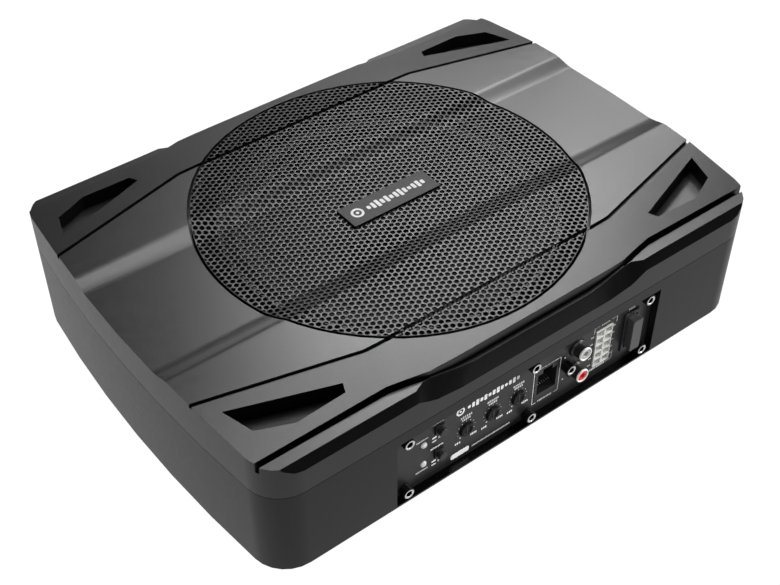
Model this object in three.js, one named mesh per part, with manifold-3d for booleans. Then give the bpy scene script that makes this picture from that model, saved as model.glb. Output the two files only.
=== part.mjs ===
// Powered car subwoofer: a flat under-seat enclosure with a slim 8 inch driver, a round grille and
// an amplifier whose controls and sockets sit in a recess of the front wall.
// Units are millimetres. +X runs along the control panel, the panel faces -Y, +Z is up.
// The origin is the middle of the flat underside.

import * as THREE from "three";
import { mergeVertices } from "three/addons/utils/BufferGeometryUtils.js";
import Module from "manifold-3d";

const wasm = await Module();
wasm.setup();

// ---- driving dimensions ----------------------------------------------------------------------

const WIDTH = 345;
const DEPTH = 250;
const HEIGHT = 81.3;
const SIDE_ARC_R = 896;      // the short sides bow outwards on this radius
const CORNER_R = 21;
const WALL = 3;
const GAP = 0.3;             // clearance between pieces that touch

const SEAM_Z = 56;           // joint between the top cover and the lower case
const CHANNEL_EDGE_Y = 47.5; // upper edges of the trough along the top
const CHANNEL_FLOOR_Y = 33;
const CHANNEL_DEPTH = 3;

const GROOVE_W = 2.4;        // thin grooves that mark off the end bands
const GROOVE_DEPTH = 2.2;
const GROOVE_START = [60, 89.1];
const GROOVE_KINK = [83.4, 88.4];
const GROOVE_END = [176, 65.4];
const BAND_SLOPE = 0.052;    // fall of the bands towards the long edges
const BAND_REACH = 140;      // past the long edges, for cutters
const POCKET = [[160, 79], [104, 98.5], [106.4, 104], [135.5, 105], [154.4, 97]];
const POCKET_FLOOR_Z = 71.2;

const GRILLE_R = 111.6;
const WELL_R = 112.4;        // the round recess that holds the grille
const LEDGE_Z = 70.5;
const LEDGE_BOTTOM_Z = 66.8;
const OPENING_R = 95;
const ROUND_STEPS = 64;      // facets of the largest circles

const PANEL_X = [-91.2, 93.4];
const PANEL_Z = [1.2, 48.5];
const PANEL_FACE_Y = -120.4;
const PANEL_T = 2;
const WINDOW_X = [-79, 83];  // opening in the case behind the panel
const WINDOW_Z = [9.6, 39.6];

const PANEL_SCREWS = [
  [-83.5, 44.6], [1, 44.6], [85.7, 44.6],
  [-83.5, 6], [1, 6], [85.7, 6.2],
  [28.2, 25.8],
];
const SCREW_HEAD = { radius: 3.4, height: 5 };
const SCREW_HOLE_R = 1.9;
const KNOBS = { low_pass: -42.3, bass_boost: -24.2, gain: -6.2 };
const KNOB_Z = 23.4;
const KNOB_R = 4.4;
const BUTTONS = { phase: 36.7, auto_on: 18.2 };
const BUTTON_X = -60.6;
const BUTTON_SIZE = 5.8;
const BUTTON_CAP = { radius: 2.7, height: 4.3 };
const BUTTON_TRAVEL = 2.5;
const LEDS = { power: 30.6, protect: 15.7 };
const LED_X = -70.6;
const LED_R = 2;
const RCA_X = 35.5;
const RCA = { left: 35.4, right: 18.6 };
const COLLAR_R = 5.5;
const COLLAR_TOP = 1.6;
const RCA_HOUSING = { x: [24.2, 42], z: [11.8, 41.2] };
const JACK_BOX = { x: [5.6, 23.4], z: [12.9, 35.2] };
const CONNECTOR_BOX = { x: [49.7, 62.1], z: [10.6, 38] };
const FUSE_BOX = { x: [71.4, 82.6], z: [10, 38.6] };
const FUSE_SIZE = { x: 7.4, z: 22.8 };
const FUSE_MIDDLE = [77, 24.2];
const BLADE_OFFSET = 6.6;

const CAST = material(0x4a4a4a, 0.55, 0.3);
const CASE = material(0x3c3c3b, 0.6, 0.3);
const PERFORATED = material(0x303030, 0.5, 0.6);
const STEEL = material(0x9a9c9e, 0.35, 0.9);
const BLACK_STEEL = material(0x202020, 0.4, 0.7);
const BLACK_PLASTIC = material(0x151515, 0.5, 0);
const PANEL_PAINT = material(0x353535, 0.6, 0.2);
const WHITE_PLASTIC = material(0xd8d8d4, 0.45, 0);
const RED_PLASTIC = material(0xb5120f, 0.4, 0);
const RUBBER = material(0x1a1a1a, 0.7, 0);
const PAPER = material(0x262626, 0.85, 0);
const FERRITE = material(0x2c2c2e, 0.75, 0.1);
const FIBREGLASS = material(0x17502f, 0.5, 0);
const ALUMINIUM = material(0xb0b2b4, 0.4, 0.9);
const COPPER = material(0xa5602f, 0.35, 0.8);
const CLOTH = material(0xb08a4a, 0.9, 0);
const FUSE_PLASTIC = material(0x55565a, 0.4, 0);

// ---- geometry helpers ------------------------------------------------------------------------

function material(color, roughness, metalness) {
  return new THREE.MeshStandardMaterial({ color, roughness, metalness });
}

// Vertices and outward-facing triangles of a closed geometry, with shared vertices merged.
function welded(geometry) {
  const bare = geometry.clone();
  bare.deleteAttribute("normal");
  bare.deleteAttribute("uv");
  const merged = mergeVertices(bare, 1e-4);
  const vertices = merged.getAttribute("position").array;
  const index = merged.index.array;
  const triangles = [];
  let volume = 0;
  for (let i = 0; i < index.length; i += 3) {
    const [a, b, c] = [index[i], index[i + 1], index[i + 2]];
    if (a === b || b === c || c === a) continue;
    triangles.push([a, b, c]);
    const [p, q, r] = [a, b, c].map((v) => new THREE.Vector3().fromArray(vertices, 3 * v));
    volume += p.dot(q.cross(r));
  }
  if (volume < 0) triangles.forEach((triangle) => triangle.reverse());
  return { vertices, triangles: triangles.flat() };
}

function solidOf(geometry) {
  const { vertices, triangles } = welded(geometry);
  const mesh = new wasm.Mesh({
    numProp: 3,
    vertProperties: new Float32Array(vertices),
    triVerts: new Uint32Array(triangles),
  });
  return new wasm.Manifold(mesh);
}

function geometryOf(solid) {
  const mesh = solid.getMesh();
  const geometry = new THREE.BufferGeometry();
  geometry.setAttribute("position", new THREE.BufferAttribute(mesh.vertProperties, 3));
  geometry.setIndex(new THREE.BufferAttribute(mesh.triVerts, 1));
  geometry.computeVertexNormals();
  return geometry;
}

const union = (...solids) => solids.reduce((sum, solid) => sum.add(solid));
const cut = (base, ...tools) => tools.reduce((rest, tool) => rest.subtract(tool), base);

function box([x0, x1], [y0, y1], [z0, z1]) {
  const geometry = new THREE.BoxGeometry(x1 - x0, y1 - y0, z1 - z0);
  geometry.translate((x0 + x1) / 2, (y0 + y1) / 2, (z0 + z1) / 2);
  return solidOf(geometry);
}

// Solid of revolution about a vertical axis. The profile holds [radius, z] points.
function revolve(profile, segments = 48, [x, y] = [0, 0]) {
  const closed = profile[0][0] === 0 ? profile : [...profile, profile[0]];
  const geometry = new THREE.LatheGeometry(closed.map(([r, z]) => new THREE.Vector2(r, z)), segments);
  geometry.rotateX(Math.PI / 2);
  geometry.translate(x, y, 0);
  return solidOf(geometry);
}

const disc = (r, [z0, z1], centre, segments = 24) =>
  revolve([[0, z0], [r, z0], [r, z1], [0, z1]], segments, centre);

const tube = (rInner, rOuter, [z0, z1], centre, segments = 24) =>
  revolve([[rInner, z0], [rOuter, z0], [rOuter, z1], [rInner, z1]], segments, centre);

// Closed skin through rings of 3-D points that have the same count, with a flat cap at each end.
function skin(rings, firstCap, lastCap) {
  const count = rings[0].length;
  const triangles = firstCap.map(([a, b, c]) => [c, b, a]);
  for (let ring = 0; ring + 1 < rings.length; ring += 1) {
    for (let i = 0; i < count; i += 1) {
      const next = (i + 1) % count;
      const low = ring * count;
      const high = low + count;
      triangles.push([low + i, low + next, high + next], [low + i, high + next, high + i]);
    }
  }
  const last = (rings.length - 1) * count;
  triangles.push(...lastCap.map((triangle) => triangle.map((i) => i + last)));
  const geometry = new THREE.BufferGeometry();
  geometry.setAttribute("position", new THREE.Float32BufferAttribute(rings.flat(2), 3));
  geometry.setIndex(triangles.flat());
  return solidOf(geometry);
}

function flatTriangles(points) {
  return THREE.ShapeUtils.triangulateShape(points.map(([a, b]) => new THREE.Vector2(a, b)), []);
}

function counterClockwise(points) {
  const area = THREE.ShapeUtils.area(points.map(([a, b]) => new THREE.Vector2(a, b)));
  return area < 0 ? [...points].reverse() : points;
}

// Upright prism over an outline. Its bottom and top are heights or functions of x and y.
function prism(outline, bottom, top) {
  const points = counterClockwise(outline);
  const height = (level) => (typeof level === "function" ? level : () => level);
  const ring = (level) => points.map(([x, y]) => [x, y, height(level)(x, y)]);
  const caps = flatTriangles(points);
  return skin([ring(bottom), ring(top)], caps, caps);
}

// Solid along X through sections of [y, z] points, each at its own x.
function loftX(sections) {
  const rings = sections.map(({ x, points }) => points.map(([y, z]) => [x, y, z]));
  const caps = [sections[0], sections.at(-1)].map(({ points }) => flatTriangles(points));
  return skin(rings, ...caps);
}

const mirrored = (points, signX, signY) => points.map(([x, y]) => [signX * x, signY * y]);

const CORNERS = [[-1, -1], [1, -1], [1, 1], [-1, 1]];

// ---- case outline ----------------------------------------------------------------------------

// Plan outline of the case, moved inwards by an inset: bowed short sides, straight long sides.
function caseOutline(inset = 0) {
  const sideR = SIDE_ARC_R - inset;
  const cornerR = CORNER_R - inset;
  const arcX = WIDTH / 2 - SIDE_ARC_R;
  const cornerY = DEPTH / 2 - CORNER_R;
  const cornerX = arcX + Math.sqrt((SIDE_ARC_R - CORNER_R) ** 2 - cornerY ** 2);
  const reach = Math.atan2(cornerY, cornerX - arcX);
  const right = new THREE.Path();
  right.absarc(arcX, 0, sideR, -reach, reach, false);
  right.absarc(cornerX, cornerY, cornerR, reach, Math.PI / 2, false);
  const upper = right.getPoints(3).filter(({ y }) => y > 0).map(({ x, y }) => [x, y]);
  const half = [...upper.map(([x, y]) => [x, -y]).reverse(), [WIDTH / 2 - inset, 0], ...upper];
  const outline = [...half, ...half.map(([x, y]) => [-x, -y])];
  return outline.filter(([x, y], i) => {
    const [px, py] = outline[(i + 1) % outline.length];
    return Math.hypot(x - px, y - py) > 0.01;
  });
}

// Height of the top surface above a [x, y] place outside the grooves, where the end bands slope.
function bandZ(x, y) {
  const slopeX = BAND_SLOPE * (GROOVE_KINK[1] - GROOVE_END[1]) / (GROOVE_END[0] - GROOVE_KINK[0]);
  const beyond = Math.max(0, Math.abs(x) - GROOVE_KINK[0]);
  return HEIGHT - BAND_SLOPE * (Math.abs(y) - GROOVE_KINK[1]) - slopeX * beyond;
}

// Section of the top across the case, from back to front, lowered by an offset.
function topSection(offset, halfDepth, bottomZ) {
  const top = HEIGHT - offset;
  const side = [
    [CHANNEL_FLOOR_Y, top - CHANNEL_DEPTH],
    [36, top - 2.75],
    [40, top - 1.9],
    [44, top - 0.75],
    [CHANNEL_EDGE_Y, top],
    [halfDepth, top],
    [halfDepth, bottomZ],
  ];
  return counterClockwise([...side, ...side.map(([y, z]) => [-y, z]).reverse()]);
}

function topSlab(offset, halfDepth, bottomZ) {
  const points = topSection(offset, halfDepth, bottomZ);
  return loftX([-WIDTH, WIDTH].map((x) => ({ x, points })));
}

// ---- top cover -------------------------------------------------------------------------------

// What is cut away above the sloping bands, in front and behind.
function bandCutters(lift = 0) {
  const roof = HEIGHT + 10;
  const level = (x, y) => bandZ(x, y) - lift;
  return [-1, 1].flatMap((signY) => {
    const [kinkX, kinkY] = GROOVE_KINK;
    const middle = [[-kinkX, kinkY], GROOVE_KINK, [kinkX, BAND_REACH], [-kinkX, BAND_REACH]];
    const corner = [GROOVE_KINK, GROOVE_END, [GROOVE_END[0], BAND_REACH], [kinkX, BAND_REACH]];
    return [
      prism(mirrored(middle, 1, signY), level, roof),
      prism(mirrored(corner, 1, signY), level, roof),
      prism(mirrored(corner, -1, signY), level, roof),
    ];
  });
}

// Long-edge treatment at the front: a groove, a low rail and a chamfer that deepens in the middle.
function edgeSections() {
  const side = (x, band, railIn, railOut, foot) => [x, [
    [band, 90], [band, 72.5], [railIn, 72.5], [railIn, 76.8], [railOut, 76.8],
    [125.6, foot - 0.9], [130, foot - 0.9], [130, 90],
  ]];
  const middle = (x, band, floorIn, floorOut, floorZ, foot) => [x, [
    [band, 90], [floorIn, floorZ + 0.1], [floorOut, floorZ], [floorOut + 0.05, floorZ - 0.02],
    [floorOut + 0.1, floorZ - 0.05], [125.6, foot - 0.9], [130, foot - 0.9], [130, 90],
  ]];
  return [
    side(WIDTH, 112.8, 114.8, 121.5, 71.5),
    side(89, 112.8, 114.8, 121.5, 71.5),
    side(77.5, 115, 116.8, 121.7, 71.5),
    side(71, 116.3, 118.4, 118.7, 68.5),
    middle(66, 117, 117.5, 118.7, 76.4, 66.5),
    middle(50, 117, 118.2, 120, 74.2, 64.5),
    middle(40, 117, 118.4, 120.9, 73.5, 64.5),
  ];
}

function edgeCutter(signY) {
  const half = edgeSections().map(([x, points]) => ({ x, points }));
  const whole = [...half.map(({ x, points }) => ({ x: -x, points })), ...[...half].reverse()];
  const turned = whole.map(({ x, points }) => ({
    x,
    points: counterClockwise(points.map(([y, z]) => [signY * y, z])),
  }));
  return loftX(turned);
}

// Strip along the groove line in one corner of the top, from the short side to the grille.
function grooveStrip(signX, signY, half, bottom) {
  const line = [GROOVE_END, GROOVE_KINK, GROOVE_START];
  const outline = [
    ...line.map(([x, y]) => [x, y + half]),
    ...[...line].reverse().map(([x, y]) => [x, y - half]),
  ];
  return prism(mirrored(outline, signX, signY), bottom, HEIGHT + 5);
}

const grooveCutter = (...signs) => grooveStrip(...signs, GROOVE_W / 2, HEIGHT - GROOVE_DEPTH);

// Thicker skin under a thin groove.
const grooveBoss = (...signs) => grooveStrip(...signs, WALL, HEIGHT - WALL - GROOVE_DEPTH);

// Styling pocket with a level floor.
function pocketCutter(signX, signY) {
  return prism(mirrored(POCKET, signX, signY), POCKET_FLOOR_Z, HEIGHT + 5);
}

// Skin left around a pocket.
function pocketBoss(signX, signY) {
  const [middleX, middleY] = [132, 94];
  const grown = POCKET.map(([x, y]) => [middleX + (x - middleX) * 1.12, middleY + (y - middleY) * 1.3]);
  return prism(mirrored(grown, signX, signY), POCKET_FLOOR_Z - WALL, HEIGHT + 5);
}

const POSTS = [[-148, -98], [148, -98], [-148, 98], [148, 98], [-157, 0], [157, 0]];
const POST_SPLIT_Z = 30;
const postTop = ([, y]) => (y === 0 ? HEIGHT - CHANNEL_DEPTH - 2 : POCKET_FLOOR_Z - 1);

function topCover() {
  const shell = prism(caseOutline(), SEAM_Z + GAP / 2, HEIGHT + 1);
  const outside = cut(
    shell.intersect(topSlab(0, 140, 0)),
    ...bandCutters(),
    ...[-1, 1].map(edgeCutter),
    ...CORNERS.map((signs) => grooveCutter(...signs)),
    ...CORNERS.map((signs) => pocketCutter(...signs)),
  );
  const hollow = cut(
    union(
      prism(caseOutline(WALL), 50, 64),
      prism(caseOutline(WALL), 50, HEIGHT + 2).intersect(topSlab(WALL, 109.5, 0)),
    ),
    disc(WELL_R + WALL, [LEDGE_BOTTOM_Z, HEIGHT + 5], [0, 0], 36),
    ...CORNERS.map((signs) => pocketBoss(...signs)),
    ...CORNERS.map((signs) => grooveBoss(...signs)),
    ...bandCutters(WALL),
  );
  const posts = POSTS.map((at) => disc(4.5, [POST_SPLIT_Z + GAP, postTop(at)], at, 12));
  const bores = POSTS.map((at) => disc(1.7, [POST_SPLIT_Z - 1, 48], at, 8));
  return cut(
    union(cut(outside, hollow), ...posts),
    ...bores,
    disc(WELL_R, [LEDGE_Z, HEIGHT + 5], [0, 0], ROUND_STEPS),
    disc(OPENING_R, [40, HEIGHT], [0, 0], 48),
  );
}

// ---- lower case ------------------------------------------------------------------------------

function lowerCase() {
  const tray = cut(
    prism(caseOutline(), 0, SEAM_Z - GAP / 2),
    prism(caseOutline(WALL), WALL, SEAM_Z + 5),
  );
  const [x0, x1] = PANEL_X;
  const [frontY, backY] = [-130, -110];
  const frame = box([x0 - 4, x1 + 4], [-123, -115], [WALL - 1, 52]);
  const seat = PANEL_FACE_Y + PANEL_T + GAP;
  const recess = box(PANEL_X, [frontY, seat], PANEL_Z);
  const window = union(
    box(WINDOW_X, [frontY, backY], WINDOW_Z),
    box([BUTTON_X - 5, BUTTON_X + 5], [frontY, backY], [30, BUTTONS.phase + 5]),
    box([RCA_HOUSING.x[0] - 1, RCA_HOUSING.x[1] + 1], [frontY, backY], [30, RCA_HOUSING.z[1] + 1]),
  );
  const screwHoles = PANEL_SCREWS.slice(0, 6).map(([x, z]) => hole(SCREW_HOLE_R, x, z, [-119, -112]));
  const posts = POSTS.map((at) => disc(5.5, [1, POST_SPLIT_Z], at, 12));
  const bores = POSTS.map((at) => disc(2, [-1, POST_SPLIT_Z + 1], at, 8));
  const sinks = POSTS.map((at) => disc(4.3, [-1, 5], at, 12));
  return cut(
    union(tray, frame, ...posts),
    recess,
    window,
    ...screwHoles,
    ...bores,
    ...sinks,
  );
}

// Round cutter along Y through a wall at [x, z].
function hole(r, x, z, [y0, y1], segments = 12) {
  const geometry = new THREE.CylinderGeometry(r, r, y1 - y0, segments);
  geometry.translate(x, (y0 + y1) / 2, z);
  return solidOf(geometry);
}

function caseScrew() {
  const shank = disc(1.3, [3, 42], [0, 0], 8);
  const head = cut(disc(3.7, [1, 4.6], [0, 0], 12), disc(1.6, [0, 3], [0, 0], 6));
  return union(shank, head);
}

// ---- grille ----------------------------------------------------------------------------------

const SHEET_T = 1.2;

// The pressed sheet follows the top of the case and is folded down at its rim.
function grille() {
  const top = (grow) => cut(topSlab(grow, 140, 0), ...bandCutters(grow));
  const round = disc(GRILLE_R, [LEDGE_Z + GAP, HEIGHT + 5], [0, 0], ROUND_STEPS);
  const inside = disc(GRILLE_R - SHEET_T, [40, HEIGHT + 5], [0, 0], ROUND_STEPS);
  return cut(round.intersect(top(0)), inside.intersect(top(SHEET_T)));
}

const BADGE = { width: 60, depth: 17.5, thick: 1.2 };

function badge() {
  const bottom = HEIGHT - CHANNEL_DEPTH + 0.1;
  const [x, y] = [BADGE.width / 2, BADGE.depth / 2];
  return box([-x, x], [-y, y], [bottom, bottom + BADGE.thick]);
}

// ---- driver ----------------------------------------------------------------------------------

const FLANGE_Z = 62;
const CONE_EDGE_Z = 64.6;
const SPIDER_Z = 39;

function basket() {
  const bowl = revolve([
    [34, 34], [62.5, 34], [95, 60.4], [103, 60.4], [103, 62], [94, 62],
    [61.8, 36], [61.8, 38.7], [57, 38.7], [57, 36], [34, 36],
  ], 36);
  const windows = [0, 1, 2, 3, 4, 5].map((i) => {
    const from = (i + 0.16) * Math.PI / 3;
    const to = (i + 0.84) * Math.PI / 3;
    const middle = (from + to) / 2;
    const corners = [[66, from], [90, from], [91, middle], [90, to], [66, to], [65.5, middle]];
    return prism(corners.map(([r, a]) => [r * Math.cos(a), r * Math.sin(a)]), 36, 59);
  });
  return cut(bowl, ...windows);
}

// Half-roll edge of the cone, with a foot on the flange.
function surround() {
  const [rIn, rOut, thick, crown] = [80.5, 93.5, 1.1, 6];
  const centre = (rIn + rOut) / 2;
  const half = (rOut - rIn) / 2;
  const roll = (offset) => Array.from({ length: 6 }, (unused, i) => {
    const angle = Math.PI * (1 - i / 5);
    return [centre + (half + offset) * Math.cos(angle), CONE_EDGE_Z + (crown + offset) * Math.sin(angle)];
  });
  const outer = roll(0);
  const inner = roll(-thick).reverse();
  const foot = [[102.5, CONE_EDGE_Z], [102.5, CONE_EDGE_Z - thick], [rOut - thick, CONE_EDGE_Z - thick]];
  const lip = [[rIn + thick, CONE_EDGE_Z - thick], [76.5, CONE_EDGE_Z - thick], [76.5, CONE_EDGE_Z]];
  return revolve([...outer, ...foot, ...inner, ...lip], 32);
}

const cone = () => revolve([
  [27.2, 44.4], [28.6, 44.4], [60, 54.6], [77.5, 61.9], [80.2, 61.9],
  [80.2, 63.1], [77, 63.1], [59.4, 55.9], [28.2, 46], [27.2, 46],
], 32);

const dustCap = () => revolve([
  [0, 56.5], [13, 55.4], [23, 52], [30.5, 47.6],
  [30.5, 48.8], [23.4, 53], [13.2, 56.5], [0, 57.7],
], 24);

const voiceCoil = () => revolve([
  [25.4, 20], [26.9, 20], [26.9, 32], [26, 32], [26, 46], [25.4, 46],
], 24);

// Corrugated suspension disc.
function spider() {
  const waves = Array.from({ length: 8 }, (unused, i) => [27.6 + i * 4.6, SPIDER_Z + 0.9 + (i % 2) * 1.3]);
  const under = waves.map(([r, z]) => [r, z - 0.7]).reverse();
  return revolve([...waves, ...under], 24);
}

const backPlate = () => revolve([
  [0, 7], [56, 7], [58, 9], [58, 12.7], [24.6, 12.7], [24.6, 33.7], [6, 33.7], [6, 20], [0, 20],
], 32);

const terminalStrip = () => union(
  box([-9, 9], [-3, 3], [0, 4]),
  box([-6.4, -4], [-1, 1], [3.5, 9]),
  box([4, 6.4], [-1, 1], [3.5, 9]),
);

// ---- electronics inside ----------------------------------------------------------------------

const BOARD_Z = 8;
const BOARD_HOLES_X = [-78, 80];
const BOARD_RAILS = { front: -109, back: -72 };

const boardHoles = (y) => BOARD_HOLES_X.map((x) => disc(1.6, [0, BOARD_Z + 3], [x, y], 12));

function board() {
  const plate = box([-83, 85], [-113.6, -66], [BOARD_Z, BOARD_Z + 1.6]);
  return cut(plate, ...Object.values(BOARD_RAILS).flatMap(boardHoles));
}

// Rail that holds one long edge of the board above the floor.
function boardRail(y) {
  const bar = box([-82, 84], [y - 3, y + 3], [WALL + GAP, BOARD_Z - GAP]);
  return cut(bar, ...boardHoles(y));
}

function heatSink() {
  const base = box([-66, -12], [-78, -75], [10, 28]);
  const fins = Array.from({ length: 9 }, (unused, i) => {
    const x = -65 + i * 6.4;
    return box([x, x + 1.6], [-75.5, -67], [10, 28]);
  });
  return union(base, ...fins);
}

function toroid() {
  const ring = Array.from({ length: 8 }, (unused, i) => {
    const angle = i * Math.PI / 4;
    return [9 + 4 * Math.cos(angle), 14.3 + 4 * Math.sin(angle)];
  });
  return revolve(ring, 16);
}

const capacitor = () => revolve([
  [0, 10], [6, 10], [6, 12], [5.6, 12.5], [6, 13], [6, 29.5], [5.4, 30], [0, 30],
], 14);

// Insulated wire along a smooth route.
function wire(points, r = 1) {
  const route = new THREE.CatmullRomCurve3(points.map((point) => new THREE.Vector3(...point)));
  const section = new THREE.Shape();
  for (let i = 0; i < 8; i += 1) {
    const angle = i * Math.PI / 4;
    const place = [r * Math.cos(angle), r * Math.sin(angle)];
    if (i === 0) section.moveTo(...place);
    else section.lineTo(...place);
  }
  return new THREE.ExtrudeGeometry(section, { steps: 14, extrudePath: route });
}

// ---- control panel pieces, in panel axes: x, height, and distance out of the panel face -------

function panelPlate() {
  const [x0, x1] = PANEL_X;
  const [z0, z1] = PANEL_Z;
  const plate = box([x0 + GAP, x1 - GAP], [z0 + GAP, z1 - GAP], [-PANEL_T, 0]);
  const through = (r, x, z, segments = 16) => disc(r, [-5, 5], [x, z], segments);
  const square = (x, z, size) => box([x - size / 2, x + size / 2], [z - size / 2, z + size / 2], [-5, 5]);
  const window = ({ x, z }) => box([x[0] - GAP, x[1] + GAP], [z[0] - GAP, z[1] + GAP], [-5, 5]);
  return cut(
    plate,
    ...PANEL_SCREWS.map(([x, z]) => through(SCREW_HOLE_R, x, z, 12)),
    ...Object.values(KNOBS).map((x) => through(KNOB_R + 0.35, x, KNOB_Z, 20)),
    ...Object.values(BUTTONS).map((z) => square(BUTTON_X, z, BUTTON_SIZE + 0.7)),
    ...Object.values(LEDS).map((z) => through(LED_R + 0.3, LED_X, z)),
    ...Object.values(RCA).map((z) => through(COLLAR_R + GAP, RCA_X, z, 20)),
    window(JACK_BOX),
    window(CONNECTOR_BOX),
    window(FUSE_BOX),
  );
}

function panelScrew() {
  const { radius, height } = SCREW_HEAD;
  const head = cut(disc(radius, [GAP, height], [0, 0], 16), disc(2.4, [height / 2, height + 1], [0, 0], 6));
  return union(head, disc(1.5, [-6, 0.5], [0, 0], 8));
}

// Ribbed adjusting knob with a screwdriver slot.
function knob() {
  const ribs = 16;
  const outline = Array.from({ length: 2 * ribs }, (unused, i) => {
    const angle = i * Math.PI / ribs;
    const r = KNOB_R - (i % 2) * 0.4;
    return [r * Math.cos(angle), r * Math.sin(angle)];
  });
  return cut(prism(outline, -1.8, 1.5), box([-0.6, 0.6], [-3.2, 3.2], [0.7, 2]));
}

const potBody = () => box([-4.6, 4.6], [-4.8, 4.8], [-9, -2.3]);

// Square foot that slides in the panel, with a round cap.
function buttonCap() {
  const half = BUTTON_SIZE / 2;
  return union(
    box([-half, half], [-half, half], [-3, 1.2]),
    disc(BUTTON_CAP.radius, [1, BUTTON_CAP.height], [0, 0], 16),
  );
}

const switchBody = () => box([-4.2, 4.2], [-4.2, 4.2], [-12, -3.2 - BUTTON_TRAVEL]);

const ledLens = () => revolve([
  [0, -1.7], [LED_R, -1.7], [LED_R, 0.2], [1.5, 0.9], [0, 1.1],
], 12);

function rcaBlock() {
  const housing = box(RCA_HOUSING.x, RCA_HOUSING.z, [-14, -PANEL_T - GAP]);
  const collars = Object.values(RCA).map((z) => disc(COLLAR_R, [-3, COLLAR_TOP], [RCA_X, z], 20));
  const screwHole = disc(SCREW_HOLE_R, [-9, 5], PANEL_SCREWS[6], 12);
  return cut(union(housing, ...collars), screwHole);
}

const rcaSleeve = () => tube(3.3, 4.3, [COLLAR_TOP + GAP, 7.2], [0, 0], 20);
const rcaInsert = () => tube(1.5, 3, [COLLAR_TOP + GAP, 6.8], [0, 0], 16);

const CELL_ROWS = 5;
const CELL_COLUMNS = 2;

// Block of socket cells in two columns.
function powerConnector() {
  const { x, z } = CONNECTOR_BOX;
  const cellX = (x[1] - x[0]) / CELL_COLUMNS;
  const cellZ = (z[1] - z[0]) / CELL_ROWS;
  const cells = [];
  for (let row = 0; row < CELL_ROWS; row += 1) {
    for (let column = 0; column < CELL_COLUMNS; column += 1) {
      const [left, low] = [x[0] + column * cellX, z[0] + row * cellZ];
      cells.push(box([left + 1.2, left + cellX - 1.2], [low + 0.9, low + cellZ - 0.9], [-6, 5]));
    }
  }
  return cut(box(x, z, [-15, 0.8]), ...cells);
}

// Modular jack with its mouth in the panel face.
function remoteJack() {
  const { x, z } = JACK_BOX;
  const mouth = box([x[0] + 2, x[1] - 2], [z[0] + 2.6, z[1] - 4.4], [-13, 5]);
  const latch = box([x[0] + 5.5, x[1] - 5.5], [z[1] - 4.6, z[1] - 1.6], [-13, 5]);
  return cut(box(x, z, [-15, 0.2]), mouth, latch);
}

function fuseHolder() {
  const { x, z } = FUSE_BOX;
  const [middleX, middleZ] = FUSE_MIDDLE;
  const [halfX, halfZ] = [FUSE_SIZE.x / 2 + 0.5, FUSE_SIZE.z / 2 + 0.5];
  const pocket = box([middleX - halfX, middleX + halfX], [middleZ - halfZ, middleZ + halfZ], [-1.5, 5]);
  const slots = [-1, 1].map((side) => {
    const slotZ = middleZ + side * BLADE_OFFSET;
    return box([middleX - 0.8, middleX + 0.8], [slotZ - 3, slotZ + 3], [-11, 0]);
  });
  return cut(box(x, z, [-14, 1.2]), pocket, ...slots);
}

function bladeFuse() {
  const [x, z] = FUSE_MIDDLE;
  const [halfX, halfZ] = [FUSE_SIZE.x / 2, FUSE_SIZE.z / 2];
  const body = box([x - halfX, x + halfX], [z - halfZ, z + halfZ], [-1.1, 6]);
  const blades = [-1, 1].map((side) => {
    const bladeZ = z + side * BLADE_OFFSET;
    return box([x - 0.4, x + 0.4], [bladeZ - 2.5, bladeZ + 2.5], [-9, 0]);
  });
  return union(body, ...blades);
}

// ---- assembly --------------------------------------------------------------------------------

const subwoofer = new THREE.Group();
const panel = new THREE.Group();
panel.rotation.x = Math.PI / 2;
panel.position.y = PANEL_FACE_Y;
subwoofer.add(panel);

function add(name, shape, finish, { parent = subwoofer, at = [0, 0, 0], turn = 0 } = {}) {
  const geometry = shape.isBufferGeometry ? shape : geometryOf(shape);
  const mesh = new THREE.Mesh(geometry, finish);
  mesh.name = name;
  mesh.position.set(...at);
  mesh.rotation.z = turn;
  parent.add(mesh);
}

const onPanel = (x, z) => ({ parent: panel, at: [x, z, 0] });

function addHousing() {
  add("top_cover", topCover(), CAST);
  add("lower_case", lowerCase(), CASE);
  add("grille", grille(), PERFORATED);
  add("grille_badge", badge(), BLACK_STEEL);
  POSTS.forEach(([x, y], i) => {
    add(`case_screw_${i + 1}`, caseScrew(), BLACK_STEEL, { at: [x, y, 0] });
  });
}

function addDriver() {
  add("basket", basket(), BLACK_STEEL);
  add("gasket", tube(96, 102.5, [CONE_EDGE_Z + GAP, LEDGE_BOTTOM_Z - GAP], [0, 0], 36), RUBBER);
  add("surround", surround(), RUBBER);
  add("cone", cone(), PAPER);
  add("dust_cap", dustCap(), PAPER);
  add("voice_coil", voiceCoil(), COPPER);
  add("spider", spider(), CLOTH);
  add("top_plate", tube(28, 55, [28.3, 33.7], [0, 0], 32), STEEL);
  add("magnet", tube(31, 60, [13, 28], [0, 0], 32), FERRITE);
  add("back_plate", backPlate(), STEEL);
  add("terminal_strip", terminalStrip(), BLACK_PLASTIC, { at: [67, -62, 42], turn: Math.PI / 4 });
}

function addElectronics() {
  add("amplifier_board", board(), FIBREGLASS);
  for (const [name, y] of Object.entries(BOARD_RAILS)) {
    add(`board_rail_${name}`, boardRail(y), ALUMINIUM);
  }
  add("heat_sink", heatSink(), ALUMINIUM);
  add("power_inductor", toroid(), COPPER, { at: [51.5, -84, 0] });
  [14, 30].forEach((x, i) => {
    add(`filter_capacitor_${i + 1}`, capacitor(), BLACK_PLASTIC, { at: [x, -84, 0] });
  });
  const positive = [[76, -92, 10.2], [77, -92, 20], [82, -82, 36], [77, -66, 52], [70.7, -58.3, 52.8]];
  const negative = [[70, -92, 10.2], [71, -92, 20], [74, -86, 36], [68, -74, 52], [63.3, -65.7, 52.8]];
  add("speaker_lead_positive", wire(positive), RED_PLASTIC);
  add("speaker_lead_negative", wire(negative), BLACK_PLASTIC);
}

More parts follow.
